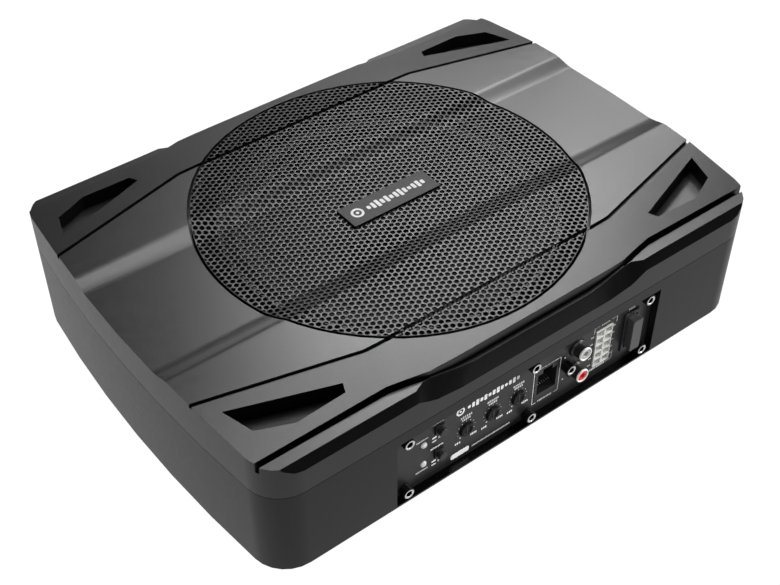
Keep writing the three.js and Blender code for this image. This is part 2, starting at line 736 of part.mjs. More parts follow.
function addPanel() {
  add("control_panel", panelPlate(), PANEL_PAINT, { parent: panel });
  PANEL_SCREWS.forEach(([x, z], i) => add(`panel_screw_${i + 1}`, panelScrew(), STEEL, onPanel(x, z)));
  for (const [name, x] of Object.entries(KNOBS)) {
    add(`${name}_knob`, knob(), BLACK_PLASTIC, onPanel(x, KNOB_Z));
    add(`${name}_control`, potBody(), BLACK_PLASTIC, onPanel(x, KNOB_Z));
  }
  for (const [name, z] of Object.entries(BUTTONS)) {
    add(`${name}_button`, buttonCap(), BLACK_PLASTIC, onPanel(BUTTON_X, z));
    add(`${name}_switch`, switchBody(), STEEL, onPanel(BUTTON_X, z));
  }
  for (const [name, z] of Object.entries(LEDS)) {
    add(`${name}_light`, ledLens(), WHITE_PLASTIC, onPanel(LED_X, z));
  }
  add("rca_block", rcaBlock(), BLACK_PLASTIC, { parent: panel });
  for (const [name, z] of Object.entries(RCA)) {
    add(`rca_sleeve_${name}`, rcaSleeve(), STEEL, onPanel(RCA_X, z));
    const colour = name === "left" ? WHITE_PLASTIC : RED_PLASTIC;
    add(`rca_insert_${name}`, rcaInsert(), colour, onPanel(RCA_X, z));
  }
  add("power_connector", powerConnector(), WHITE_PLASTIC, { parent: panel });
  add("remote_jack", remoteJack(), BLACK_PLASTIC, { parent: panel });
  add("fuse_holder", fuseHolder(), BLACK_PLASTIC, { parent: panel });
  add("blade_fuse", bladeFuse(), FUSE_PLASTIC, { parent: panel });
}

addHousing();
addDriver();
addElectronics();
addPanel();

export default subwoofer;
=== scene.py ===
"""Looks of a powered car subwoofer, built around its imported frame.

The top cover, the lower case and most inner pieces are the frame's own nodes with softened edges.
The grille, the driver's visible parts, and everything on the control panel are built here.
"""

import math

import bmesh
import bpy
import numpy as np
from mathutils import Euler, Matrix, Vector, geometry


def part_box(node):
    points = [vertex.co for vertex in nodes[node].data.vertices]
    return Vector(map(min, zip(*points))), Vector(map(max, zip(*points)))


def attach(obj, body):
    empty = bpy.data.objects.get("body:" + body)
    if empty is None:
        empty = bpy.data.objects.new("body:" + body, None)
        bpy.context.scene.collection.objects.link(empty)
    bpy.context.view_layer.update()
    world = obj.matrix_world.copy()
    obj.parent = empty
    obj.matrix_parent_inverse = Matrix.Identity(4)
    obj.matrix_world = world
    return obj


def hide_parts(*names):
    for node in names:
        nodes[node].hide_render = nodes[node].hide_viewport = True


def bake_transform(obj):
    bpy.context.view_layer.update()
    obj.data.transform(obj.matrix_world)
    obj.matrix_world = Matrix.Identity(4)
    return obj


MM = 0.001

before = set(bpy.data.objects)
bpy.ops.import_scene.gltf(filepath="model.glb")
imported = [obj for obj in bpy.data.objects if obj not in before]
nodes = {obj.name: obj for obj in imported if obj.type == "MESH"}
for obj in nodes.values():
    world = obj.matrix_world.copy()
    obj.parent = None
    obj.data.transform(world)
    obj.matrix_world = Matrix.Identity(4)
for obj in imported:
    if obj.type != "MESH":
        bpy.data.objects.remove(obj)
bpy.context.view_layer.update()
scene = bpy.context.scene

# ---- frame measures ----

GRILLE_LOW, GRILLE_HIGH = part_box("grille")
TOP_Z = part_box("top_cover")[1].z
PANEL_FACE_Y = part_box("control_panel")[0].y

CHANNEL_DEPTH = 3 * MM
CHANNEL_PROFILE = [(33, 0), (36, 0.25), (40, 1.1), (44, 2.25), (47.5, 3)]  # mm from the axis, mm up
CREASE_Y = 88.4 * MM
BAND_SLOPE = 0.052

ENCLOSURE = "enclosure"
CONE_BODY = "cone_assembly"


# ---- materials ----


def new_material(name, color, roughness, metallic=0.0, **sockets):
    """Principled material. Extra sockets are given by name with _ for spaces."""
    material = bpy.data.materials.new(name)
    material.use_nodes = True
    shader = material.node_tree.nodes["Principled BSDF"]
    shader.inputs["Base Color"].default_value = (*color, 1)
    shader.inputs["Roughness"].default_value = roughness
    shader.inputs["Metallic"].default_value = metallic
    for socket, value in sockets.items():
        shader.inputs[socket.replace("_", " ")].default_value = value
    return material


def link_nodes(material, kind, **settings):
    """New node with settings for its properties and, in a dict called inputs, its sockets."""
    node = material.node_tree.nodes.new(kind)
    for key, value in settings.get("inputs", {}).items():
        node.inputs[key].default_value = value
    for key, value in settings.items():
        if key != "inputs":
            setattr(node, key, value)
    return node


def object_coordinates(material, stretch=(1, 1, 1)):
    tree = material.node_tree
    place = link_nodes(material, "ShaderNodeTexCoord")
    mapping = link_nodes(material, "ShaderNodeMapping", inputs={"Scale": stretch})
    tree.links.new(place.outputs["Object"], mapping.inputs["Vector"])
    return mapping.outputs["Vector"]


def noise_field(material, size, detail, stretch):
    noise = link_nodes(material, "ShaderNodeTexNoise", inputs={"Scale": 1 / size, "Detail": detail})
    material.node_tree.links.new(object_coordinates(material, stretch), noise.inputs["Vector"])
    return noise.outputs["Fac"]


def feed_shader(material, source, socket):
    tree = material.node_tree
    tree.links.new(source, tree.nodes["Principled BSDF"].inputs[socket])
    return material


def vary(material, low, high, size, detail=3.0, stretch=(1, 1, 1), spread=(0.3, 0.7)):
    """Blotches of two tones in the base colour, of a size in metres."""
    noise = noise_field(material, size, detail, stretch)
    ramp = link_nodes(material, "ShaderNodeValToRGB")
    ramp.color_ramp.elements[0].position, ramp.color_ramp.elements[1].position = spread
    ramp.color_ramp.elements[0].color = (*low, 1)
    ramp.color_ramp.elements[1].color = (*high, 1)
    material.node_tree.links.new(noise, ramp.inputs["Fac"])
    return feed_shader(material, ramp.outputs["Color"], "Base Color")


def mottle(material, low, high, size, stretch=(1, 1, 1)):
    """Roughness that wanders between two values."""
    noise = noise_field(material, size, 4.0, stretch)
    spread = link_nodes(material, "ShaderNodeMapRange", inputs={3: low, 4: high})
    material.node_tree.links.new(noise, spread.inputs["Value"])
    return feed_shader(material, spread.outputs["Result"], "Roughness")


def grain(material, size, height, strength=1.0, detail=2.0, stretch=(1, 1, 1)):
    """Bump from noise. Size and height are in metres."""
    noise = noise_field(material, size, detail, stretch)
    bump = link_nodes(material, "ShaderNodeBump", inputs={"Strength": strength, "Distance": height})
    material.node_tree.links.new(noise, bump.inputs["Height"])
    return feed_shader(material, bump.outputs["Normal"], "Normal")


def powder_coat(name, tone, roughness, gloss=0.5):
    """Finely textured coat on metal, with a slight cloudiness."""
    material = new_material(name, (tone,) * 3, roughness, Specular_IOR_Level=gloss)
    vary(material, (tone * 0.86,) * 3, (tone * 1.12,) * 3, 0.0011, detail=6)
    mottle(material, roughness - 0.04, roughness + 0.05, 0.004)
    return grain(material, 0.00034, 0.00004, 0.6)


def moulded_plastic(name, tone, roughness, gloss=0.5):
    material = new_material(name, tone, roughness, IOR=1.5, Specular_IOR_Level=gloss)
    vary(material, tuple(0.85 * c for c in tone), tuple(min(1, 1.1 * c) for c in tone), 0.003)
    mottle(material, roughness - 0.06, roughness + 0.06, 0.002)
    return grain(material, 0.00025, 0.00003, 0.5)


def turned_metal(name, tone, roughness):
    """Metal with fine lathe marks across its axis."""
    material = new_material(name, tone, roughness, 1.0)
    vary(material, tuple(0.8 * c for c in tone), tone, 0.002, stretch=(1, 1, 6))
    mottle(material, roughness - 0.08, roughness + 0.1, 0.0015, stretch=(1, 1, 8))
    return grain(material, 0.0003, 0.00002, 0.5, stretch=(1, 1, 5))


def woven_cloth(name, dark, light, pitch):
    material = new_material(name, light, 0.9)
    tree = material.node_tree
    weave = link_nodes(material, "ShaderNodeTexWave", inputs={"Scale": 1 / pitch, "Distortion": 1.5})
    across = link_nodes(
        material, "ShaderNodeTexWave", bands_direction="Y", inputs={"Scale": 1 / pitch, "Distortion": 1.5}
    )
    mix = link_nodes(material, "ShaderNodeMix", data_type="RGBA", blend_type="MULTIPLY", inputs={0: 1.0})
    ramp = link_nodes(material, "ShaderNodeValToRGB")
    ramp.color_ramp.elements[0].color = (*dark, 1)
    ramp.color_ramp.elements[1].color = (*light, 1)
    coordinates = object_coordinates(material)
    for wave in (weave, across):
        tree.links.new(coordinates, wave.inputs["Vector"])
    tree.links.new(weave.outputs["Color"], mix.inputs[6])
    tree.links.new(across.outputs["Color"], mix.inputs[7])
    tree.links.new(mix.outputs[2], ramp.inputs["Fac"])
    feed_shader(material, ramp.outputs["Color"], "Base Color")
    return grain(material, 0.0006, 0.0002)


def copper_winding():
    """Enamelled wire laid turn beside turn."""
    material = new_material("copper_winding", (0.55, 0.22, 0.08), 0.3, 1.0, Coat_Weight=0.6)
    tree = material.node_tree
    rings = link_nodes(
        material, "ShaderNodeTexWave", bands_direction="Z", inputs={"Scale": 900.0, "Detail": 0.0}
    )
    bump = link_nodes(material, "ShaderNodeBump", inputs={"Strength": 0.8, "Distance": 0.0002})
    tree.links.new(object_coordinates(material), rings.inputs["Vector"])
    tree.links.new(rings.outputs["Fac"], bump.inputs["Height"])
    feed_shader(material, bump.outputs["Normal"], "Normal")
    return vary(material, (0.42, 0.15, 0.05), (0.62, 0.27, 0.1), 0.004)


def pressed_paper(name, tone):
    material = new_material(name, (tone,) * 3, 0.82)
    vary(material, (tone * 0.7,) * 3, (tone * 1.4,) * 3, 0.0012, detail=8)
    return grain(material, 0.0007, 0.00018, 0.9, detail=5)


def rubber_skin():
    material = new_material("rubber_skin", (0.018,) * 3, 0.55, Sheen_Weight=0.15)
    vary(material, (0.013,) * 3, (0.024,) * 3, 0.006)
    mottle(material, 0.48, 0.64, 0.003)
    return grain(material, 0.0004, 0.00005, 0.5)


def light_lens():
    material = new_material("light_lens", (0.82, 0.82, 0.8), 0.25, IOR=1.5, Transmission_Weight=0.15)
    shader = material.node_tree.nodes["Principled BSDF"]
    shader.inputs["Subsurface Weight"].default_value = 0.3
    shader.inputs["Subsurface Radius"].default_value = (0.002, 0.002, 0.002)
    return vary(material, (0.72, 0.72, 0.7), (0.9, 0.9, 0.88), 0.001)


def circuit_board():
    """Green solder mask with paler copper areas under it."""
    material = new_material("circuit_board", (0.02, 0.1, 0.04), 0.35, Coat_Weight=0.5)
    vary(material, (0.012, 0.07, 0.025), (0.03, 0.14, 0.055), 0.006, detail=1, spread=(0.48, 0.52))
    return grain(material, 0.0008, 0.00004, 0.6)


def screw_black():
    """Black oxide with vertical knurling marks."""
    material = new_material("screw_black", (0.012,) * 3, 0.38, 0.8)
    vary(material, (0.008,) * 3, (0.02,) * 3, 0.001)
    return grain(material, 0.0004, 0.00006, 0.6, stretch=(1, 0.15, 1))


PLASTICS = {  # colour, roughness and, where it isn't 0.5, gloss
    "white_print": ((0.85, 0.85, 0.84), 0.5),
    "soft_print": ((0.6, 0.6, 0.59), 0.6),
    "black_plastic": ((0.012, 0.012, 0.012), 0.4),
    "dial_plastic": ((0.006, 0.006, 0.006), 0.5, 0.18),
    "white_plastic": ((0.86, 0.86, 0.84), 0.4),
    "nylon": ((0.58, 0.58, 0.56), 0.45),
    "grey_plastic": ((0.36, 0.36, 0.35), 0.4),
    "red_plastic": ((0.62, 0.012, 0.01), 0.3),
    "fuse_plastic": ((0.05, 0.05, 0.053), 0.3),
}


def make_materials():
    return {
        **{name: moulded_plastic(name, *values) for name, values in PLASTICS.items()},
        "cover": powder_coat("cover_coat", 0.024, 0.3),
        "case": powder_coat("case_coat", 0.013, 0.3, 0.31),
        "panel": powder_coat("panel_coat", 0.014, 0.36, 0.38),
        "grille": powder_coat("grille_coat", 0.02, 0.32, 0.36),
        # Darker copy of the grille's own coat for its underside, hole walls and rim: painted shade
        "grille_painted_shade": powder_coat("grille_painted_shade", 0.006, 0.6, 0.2),
        "badge": powder_coat("badge_coat", 0.02, 0.5, 0.3),
        "felt": powder_coat("felt", 0.006, 0.95, 0.05),
        "steel": turned_metal("zinc_steel", (0.58, 0.58, 0.59), 0.32),
        "bright_ring": turned_metal("bright_ring", (0.92, 0.92, 0.92), 0.4),
        "contact": turned_metal("contact_metal", (0.72, 0.62, 0.42), 0.25),
        "dull_contact": turned_metal("dull_contact", (0.16, 0.155, 0.14), 0.5),
        "aluminium": turned_metal("aluminium", (0.7, 0.7, 0.72), 0.4),
        "screw_black": screw_black(),
        "black_steel": powder_coat("black_steel", 0.014, 0.4),
        "ferrite": powder_coat("ferrite", 0.03, 0.7),
        "rubber": rubber_skin(),
        "paper": pressed_paper("cone_paper", 0.028),
        "copper": copper_winding(),
        "spider_cloth": woven_cloth("spider_cloth", (0.25, 0.15, 0.04), (0.6, 0.42, 0.17), 0.0009),
        "board": circuit_board(),
        "lens": light_lens(),
    }


MATERIALS = make_materials()


# ---- mesh helpers ----


SHARP_ANGLE = math.radians(35)


def place_object(name, data):
    obj = bpy.data.objects.new(name, data)
    scene.collection.objects.link(obj)
    return obj


def face_outwards(obj):
    work = bmesh.new()
    work.from_mesh(obj.data)
    bmesh.ops.recalc_face_normals(work, faces=work.faces)
    work.to_mesh(obj.data)
    work.free()
    obj.data.shade_smooth()
    obj.data.set_sharp_from_angle(angle=SHARP_ANGLE)


def round_edges(obj, width, angle=30, segments=2):
    """Narrow rounded edges with even shading."""
    bevel = obj.modifiers.new("rounded_edges", "BEVEL")
    bevel.width = width
    bevel.segments = segments
    bevel.limit_method = "ANGLE"
    bevel.angle_limit = math.radians(angle)
    shading = obj.modifiers.new("even_shading", "WEIGHTED_NORMAL")
    shading.weight = 90


def soften_node(name, material, width, angle=24):
    """The frame's own solid with its flat faces made whole and its edges rounded."""
    node = nodes[name]
    dress(name, material)
    node.data.shade_smooth()
    weld = node.modifiers.new("weld", "WELD")
    weld.merge_threshold = 1e-6
    flat = node.modifiers.new("whole_faces", "DECIMATE")
    flat.decimate_type = "DISSOLVE"
    flat.angle_limit = math.radians(0.3)
    round_edges(node, width, angle, 3)


def dress(name, material):
    slots = nodes[name].data.materials
    slots.clear()
    slots.append(MATERIALS[material])


panel_pieces = [nodes["control_panel"]]


class Shape:
    """Vertices and faces of one mesh, gathered piece by piece."""

    def __init__(self):
        self.vertices = []
        self.faces = []
        self.slots = []
        self.finish = 0

    def add(self, vertices, faces):
        start = len(self.vertices)
        self.vertices += vertices
        self.faces += [[start + i for i in face] for face in faces]
        self.slots += [self.finish] * len(faces)
        return self

    def rings(self, rings, caps=True, closed=False):
        """Skin through rings of points that have the same count."""
        count = len(rings[0])
        faces = []
        pairs = len(rings) if closed else len(rings) - 1
        for r in range(pairs):
            low, high = r * count, (r + 1) % len(rings) * count
            for i in range(count):
                j = (i + 1) % count
                faces.append((low + i, low + j, high + j, high + i))
        if caps and not closed:
            faces.append(tuple(reversed(range(count))))
            last = (len(rings) - 1) * count
            faces.append(tuple(range(last, last + count)))
        return self.add([p for ring in rings for p in ring], faces)

    def lathe(self, profile, segments, centre=(0, 0)):
        """Profile of (radius, height) points turned about a vertical axis. A radius of 0 closes it."""
        rings = [lifted(circle(r, segments, centre), z) for r, z in profile if r > 0]
        on_axis = profile[0][0] == 0
        return self.rings(rings, caps=on_axis, closed=not on_axis)

    def slab(self, outline, z0, z1):
        """Upright prism over a flat outline."""
        return self.rings([lifted(outline, z0), lifted(outline, z1)])

    def box(self, x, y, z):
        return self.slab([(x[0], y[0]), (x[1], y[0]), (x[1], y[1]), (x[0], y[1])], *z)

    def build(self, name, materials, replaced=(), slot=None, body=ENCLOSURE):
        """Makes the object and hangs it on its body."""
        mesh = bpy.data.meshes.new(name)
        mesh.from_pydata([tuple(v) for v in self.vertices], [], [tuple(f) for f in self.faces])
        mesh.validate()
        obj = place_object(name, mesh)
        for material in [materials] if isinstance(materials, str) else materials:
            mesh.materials.append(MATERIALS[material])
        mesh.polygons.foreach_set("material_index", self.slots)
        face_outwards(obj)
        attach(obj, body)
        if replaced:
            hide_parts(*replaced)
        return obj

    def build_on_panel(self, name, materials, replaced=(), slot=None, body=ENCLOSURE):
        """Makes a piece that was drawn as x, height, distance out of the panel face."""
        self.vertices = [(x, PANEL_FACE_Y - out, z) for x, z, out in self.vertices]
        obj = self.build(name, materials, replaced, slot, body)
        panel_pieces.append(obj)
        return obj


def around(radius, angle, centre=(0, 0)):
    return centre[0] + radius * math.cos(angle), centre[1] + radius * math.sin(angle)


def circle(radius, count, centre=(0, 0)):
    step = 2 * math.pi / count
    return [around(radius, i * step, centre) for i in range(count)]


def lifted(outline, z):
    return [(x, y, z) for x, y in outline]


def tube_section(inner, outer, low, high):
    return [(inner, low), (outer, low), (outer, high), (inner, high)]


def rounded_box(x, y, r, steps=4):
    """Outline of a rectangle with round corners."""
    left, right, low, high = x[0] + r, x[1] - r, y[0] + r, y[1] - r
    outline = []
    for quarter, corner in enumerate(((right, high), (left, high), (left, low), (right, low))):
        for i in range(steps + 1):
            outline.append(around(r, math.pi / 2 * (quarter + i / steps), corner))
    return outline


def middle_of(node):
    low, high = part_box(node)
    return (low + high) / 2


def half_width(node):
    low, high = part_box(node)
    return (high.x - low.x) / 2


# ---- camera, light and floor ----


def add_camera():
    camera = place_object("camera", bpy.data.cameras.new("camera"))
    camera.location = (-0.34432, -0.44672, 0.53802)
    camera.rotation_euler = Vector((0.44489, 0.57613, -0.68567)).to_track_quat("-Z", "Y").to_euler()
    camera.data.sensor_width = 36
    camera.data.lens = 59.845
    camera.data.clip_start = 0.01
    scene.camera = camera


# Softboxes on a dome round the object: azimuth from +X towards +Y and elevation in degrees, width
# and height in metres, power in watts.
DOME_RADIUS = 1.5
DOME_CENTRE = Vector((0, 0, 0.05))
SOFTBOXES = {
    "key": (47, 45, 0.56, 0.30, 9.6),
    "high": (52, 67, 0.38, 0.48, 3.7),
    "overhead": (60, 82, 0.60, 0.60, 5.0),
    "right": (15, 53, 0.32, 0.27, 2.2),
    "right_low": (32, 30, 0.30, 0.30, 1.8),
    "back_low": (62, 12, 0.80, 0.30, 2.7),
}
PANEL_SOFTBOXES = {  # these light only the control panel and what stands on it
    "front_left": (-110, 45, 0.80, 0.80, 10.0),
    "front_right": (-30, 20, 0.35, 0.35, 26.0),
}
FLOOR_GLOW = 1.0
FLOOR_BOUNCE = 0.64
FLOOR_REACH = 6.0
BOUNCE_REACH = 0.55


def add_softbox(name, azimuth, elevation, width, height, power):
    light = bpy.data.lights.new(f"{name}_softbox", "AREA")
    light.shape = "RECTANGLE"
    light.size = width
    light.size_y = height
    light.energy = power
    holder = place_object(light.name, light)
    turn = Euler((0, -math.radians(elevation), math.radians(azimuth)))
    outwards = turn.to_matrix() @ Vector((1, 0, 0))
    holder.location = DOME_CENTRE + DOME_RADIUS * outwards
    holder.rotation_euler = (-outwards).to_track_quat("-Z", "Y").to_euler()
    return holder


def light_panel():
    """Fill lights whose light reaches the control panel's pieces alone."""
    lit = bpy.data.collections.new("panel_pieces")
    for piece in panel_pieces:
        lit.objects.link(piece)
    for name, softbox in PANEL_SOFTBOXES.items():
        add_softbox(name, *softbox).light_linking.receiver_collection = lit


def add_studio():
    """Softboxes in a white room that is seen but gives no light of its own."""
    scene.view_settings.view_transform = "Standard"
    world = bpy.data.worlds.new("studio")
    world.use_nodes = True
    world.node_tree.nodes["Background"].inputs["Color"].default_value = (1, 1, 1, 1)
    world.node_tree.nodes["Background"].inputs["Strength"].default_value = 1.0
    world.cycles_visibility.diffuse = False
    world.cycles_visibility.glossy = False
    scene.world = world
    for name, softbox in SOFTBOXES.items():
        add_softbox(name, *softbox)


def add_floor_sheet(name, half, z, glow, seen_in_object):
    corners = [(-half, -half, z), (half, -half, z), (half, half, z), (-half, half, z)]
    mesh = bpy.data.meshes.new(name)
    mesh.from_pydata(corners, [], [(0, 1, 2, 3)])
    sheet = place_object(name, mesh)
    sheet.visible_diffuse = seen_in_object
    sheet.visible_glossy = seen_in_object
    paper = new_material(f"{name}_paper", (0.02, 0.02, 0.02), 0.9)
    shader = paper.node_tree.nodes["Principled BSDF"]
    shader.inputs["Emission Color"].default_value = (1, 1, 1, 1)
    shader.inputs["Emission Strength"].default_value = glow
    mesh.materials.append(paper)


def add_floor():
    """A white floor, and a dimmer sheet under it that throws light up at the object."""
    add_floor_sheet("floor", FLOOR_REACH, 0, FLOOR_GLOW, False)
    add_floor_sheet("bounce_sheet", BOUNCE_REACH, -1 * MM, FLOOR_BOUNCE, True)


# ---- housing ----


def dress_housing():
    soften_node("top_cover", "cover", 0.35 * MM)
    soften_node("lower_case", "case", 0.4 * MM)
    dress("control_panel", "panel")


SCREW_FINISH = ["screw_black", "bright_ring"]
SCREW_SIDES = 36
SCREW_EDGE = 0.3 * MM
SOCKET_CHAMFER = 0.25 * MM
CASE_SCREW_HEAD = 3.6 * MM
PANEL_SCREW_SEAT = 0.3 * MM


def add_case_screws():
    """Socket screws in the underside's counterbores."""
    for number in range(1, 7):
        name = f"case_screw_{number}"
        low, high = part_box(name)
        seat = low.z + CASE_SCREW_HEAD
        shape = cap_screw_shape(middle_of(name).xy, half_width(name), low.z, seat, high.z)
        shape.build(f"{name}_turned", SCREW_FINISH, [name], "black_steel")


def cap_screw_shape(centre, radius, tip, seat, end):
    """Cap screw along its axis: a head from seat to tip with a hex socket, a shank from seat to end."""
    inwards = -1 if tip > seat else 1
    height, length = abs(tip - seat), abs(end - tip)
    shank, socket, ring_edge = radius * 0.42, radius * 0.6, radius * 0.86

    def sunk(outline, drop):
        return lifted(outline, tip + inwards * drop)

    def ring(r, drop):
        return sunk(circle(r, SCREW_SIDES, centre), drop)

    shape = Shape().rings([ring(shank, length), ring(shank, height)])
    foot = [ring(radius * 0.94, height), ring(radius, height - 0.2 * MM)]
    shape.rings([*foot, ring(radius, SCREW_EDGE), ring(ring_edge, 0)], caps=False)
    shape.finish = 1
    hexagon = hex_ring(socket, SCREW_SIDES, centre)
    mouth, floor = sunk(hexagon, SOCKET_CHAMFER), sunk(hexagon, height * 0.6)
    shape.rings([ring(ring_edge, 0), ring(socket * 1.06, 0), mouth], caps=False)
    shape.finish = 0
    shape.rings([mouth, floor], caps=False)
    return shape.add(floor, [tuple(range(SCREW_SIDES))])


def hex_ring(radius, count, centre):
    """Hexagon sampled at even angles, so that it can be skinned to a circle."""
    ring = []
    for i in range(count):
        angle = 2 * math.pi * i / count
        within = (angle + math.pi / 6) % (math.pi / 3) - math.pi / 6
        reach = radius * math.cos(math.pi / 6) / math.cos(within)
        ring.append(around(reach, angle, centre))
    return ring


# ---- grille ----

HOLE_PITCH = 3.6 * MM
HOLE_R = 1.43 * MM
HOLE_SIDES = 12
HOLE_DIP = 0.05 * MM
SHEET_T = 1.0 * MM
GRILLE_R = (GRILLE_HIGH.x - GRILLE_LOW.x) / 2 - 0.8 * MM  # leaves a shadow gap round the rim
RIM_W = 0.4 * MM
RIM_ROUND = 0.15  # mm
RIM_SIDES = 240
CREASE_DEPTH = 1.7 * MM
CREASE_FLAT = 0.6 * MM
CREASE_HALF = 1.3 * MM
COLUMN_STEP = HOLE_PITCH * math.sqrt(3) / 2
SMALLEST_CUT = 0.8 * MM


def sheet_height(y):
    """Heights of the grille's upper face: the trough, the crease line and the falling bands."""
    off = np.abs(y)
    spots, rises = zip(*CHANNEL_PROFILE)
    height = TOP_Z - CHANNEL_DEPTH + MM * np.interp(off / MM, spots, rises)
    crease = np.interp(np.abs(off - CREASE_Y), (CREASE_FLAT, CREASE_HALF), (CREASE_DEPTH, 0))
    return height - BAND_SLOPE * np.maximum(0.0, off - CREASE_Y) - crease


def lattice_places(reach):
    """Keys and centres of the hole lattice, whose rows run along Y."""
    columns = int(reach / COLUMN_STEP) + 1
    rows = int(reach / HOLE_PITCH) + 2
    places = {}
    for i in range(-columns, columns + 1):
        for j in range(-rows, rows + 1):
            places[i, j] = lattice_centre(i, j)
    return places


def lattice_centre(i, j):
    return Vector((i * COLUMN_STEP, (j + 0.5 * (i % 2)) * HOLE_PITCH))


def nearest_cell(point):
    i0 = round(point.x / COLUMN_STEP)
    guesses = [(i, round(point.y / HOLE_PITCH - 0.5 * (i % 2))) for i in (i0 - 1, i0, i0 + 1)]
    return min(guesses, key=lambda key: (lattice_centre(*key) - point).length)


class Sheet:
    """Flat triangulation of the perforated sheet, with shared vertices."""

    def __init__(self):
        self.points = []
        self.dips = []
        self.index = {}
        self.faces = []
        self.holes = []

    def vertex(self, x, y, dip=0.0):
        key = (round(x * 1e7), round(y * 1e7))
        if key not in self.index:
            self.index[key] = len(self.points)
            self.points.append((x, y))
            self.dips.append(dip)
        return self.index[key]


def add_cell(sheet, centre):
    """Hexagon of metal round one whole hole."""
    corner_r = HOLE_PITCH / math.sqrt(3)
    corners = [sheet.vertex(x, y) for x, y in circle(corner_r, 6, centre)]
    rim = [sheet.vertex(x, y, HOLE_DIP) for x, y in circle(HOLE_R, HOLE_SIDES, centre)]
    for k in range(6):
        a, b = corners[k], corners[(k + 1) % 6]
        h0, h1, h2 = rim[2 * k], rim[2 * k + 1], rim[(2 * k + 2) % HOLE_SIDES]
        sheet.faces += [(a, h1, h0), (a, b, h1), (b, h2, h1)]
    sheet.holes.append(rim)


def clipped_hole(centre, limit):
    """The part of a hole inside a circle about the origin, or nothing if it is too small."""
    ring = [Vector(p) for p in circle(HOLE_R, HOLE_SIDES, centre)]
    if centre.length - HOLE_R > limit - SMALLEST_CUT:
        return None
    outline = []
    for k, point in enumerate(ring):
        follower = ring[(k + 1) % HOLE_SIDES]
        if point.length <= limit:
            outline.append(point)
        if (point.length <= limit) != (follower.length <= limit):
            share = (limit - point.length) / (follower.length - point.length)
            crossing = point.lerp(follower, share)
            outline.append(crossing * (limit / crossing.length))
    return outline


def fill_border(sheet, whole, places):
    """Metal between the whole cells and the rim, with the holes that the rim cuts."""
    edges = {}
    for face in sheet.faces:
        for k in range(3):
            a, b = face[k], face[(k + 1) % 3]
            key = (min(a, b), max(a, b))
            edges[key] = edges.get(key, 0) + 1
    rim_vertices = {v for ring in sheet.holes for v in ring}
    jagged = [e for e, uses in edges.items() if uses == 1 and not rim_vertices.issuperset(e)]
    limit = GRILLE_R - RIM_W
    points, links = [], []

    def add_loop(loop):
        start = len(points)
        points.extend(Vector(p) for p in loop)
        links.extend((start + k, start + (k + 1) % len(loop)) for k in range(len(loop)))

    partial = {}
    for key, centre in places.items():
        if key in whole:
            continue
        outline = clipped_hole(centre, limit)
        if outline and len(outline) > 2:
            partial[key] = outline
            add_loop(outline)
    add_loop(circle(GRILLE_R - RIM_ROUND * MM, RIM_SIDES))
    used = {}
    for a, b in jagged:
        for v in (a, b):
            if v not in used:
                used[v] = len(points)
                points.append(Vector(sheet.points[v]))
        links.append((used[a], used[b]))
    scaled = [p * 1000 for p in points]
    result = geometry.delaunay_2d_cdt(scaled, links, [], 0, 1e-5)
    flat = [Vector(p) / 1000 for p in result[0]]
    inner = HOLE_R * math.cos(math.pi / HOLE_SIDES)
    for triangle in result[2]:
        middle = sum((flat[i] for i in triangle), Vector((0, 0))) / 3
        key = nearest_cell(middle)
        near_hole = key in partial and (middle - lattice_centre(*key)).length < inner
        if key in whole or (near_hole and middle.length < limit) or middle.length > GRILLE_R:
            continue
        sheet.faces.append(tuple(sheet.vertex(*flat[i]) for i in triangle))
    for outline in partial.values():
        sheet.holes.append([sheet.vertex(*p) for p in outline])


def add_grille():
    """Perforated steel sheet with punched holes and a folded rim."""
    sheet = Sheet()
    places = lattice_places(GRILLE_R + HOLE_PITCH)
    whole = set()
    for key, centre in places.items():
        if centre.length + HOLE_PITCH / math.sqrt(3) < GRILLE_R - RIM_W - 0.1 * MM:
            whole.add(key)
            add_cell(sheet, centre)
    fill_border(sheet, whole, places)
    count = len(sheet.points)
    shape = Shape()
    upper = [(x, y, -dip) for (x, y), dip in zip(sheet.points, sheet.dips)]
    lower = [(x, y, -SHEET_T) for x, y in sheet.points]
    shape.add(upper + lower, sheet.faces)
    # From here on the faces take the darker copy of the coat: painted shade on the underside, the hole
    # walls and the rim
    shape.finish = 1
    hidden = [tuple(count + i for i in reversed(face)) for face in sheet.faces]
    for ring in sheet.holes:
        for a, b in zip(ring, ring[1:] + ring[:1]):
            hidden.append((a, b, b + count, a + count))
    shape.faces += hidden
    shape.slots += [shape.finish] * len(hidden)
    top, outside, foot, inside = -RIM_ROUND, 0, -4.5, -0.9  # mm
    profile = [(top, 0), (outside, top), (outside, foot), (inside, foot), (inside, -1.0), (top, -1.0)]
    rings = [lifted(circle(GRILLE_R + out * MM, RIM_SIDES), up * MM) for out, up in profile]
    shape.rings(rings, closed=True)
    finishes = ["grille", "grille_painted_shade"]
    fold_sheet(shape.build("perforated_grille", finishes, ["grille"], "grille_paint"))


def fold_sheet(grille):
    """Splits the flat sheet along its fold lines, then lifts every point to the sheet's height."""
    work = bmesh.new()
    work.from_mesh(grille.data)
    folds = [CREASE_Y + side * reach for side in (-1, 1) for reach in (CREASE_FLAT, CREASE_HALF)]
    for y in (*folds, *[-fold for fold in folds]):
        everything = [*work.verts, *work.edges, *work.faces]
        bmesh.ops.bisect_plane(work, geom=everything, plane_co=(0, y, 0), plane_no=(0, 1, 0))
    work.to_mesh(grille.data)
    work.free()
    vertices = grille.data.vertices
    places = np.zeros(len(vertices) * 3)
    vertices.foreach_get("co", places)
    places = places.reshape(-1, 3)
    places[:, 2] += sheet_height(places[:, 1])
    vertices.foreach_set("co", places.ravel())
    grille.data.set_sharp_from_angle(angle=SHARP_ANGLE)


# ---- mark and badge ----

FELT_T = 0.28 * MM
FELT_INNER_R = 97 * MM
MARK_HEIGHTS = (0.45, 0.8, 1.0, 0.62, 0.9, 0.5, 0.76, 1.0, 0.66, 0.42, 0.7, 0.9, 0.55)


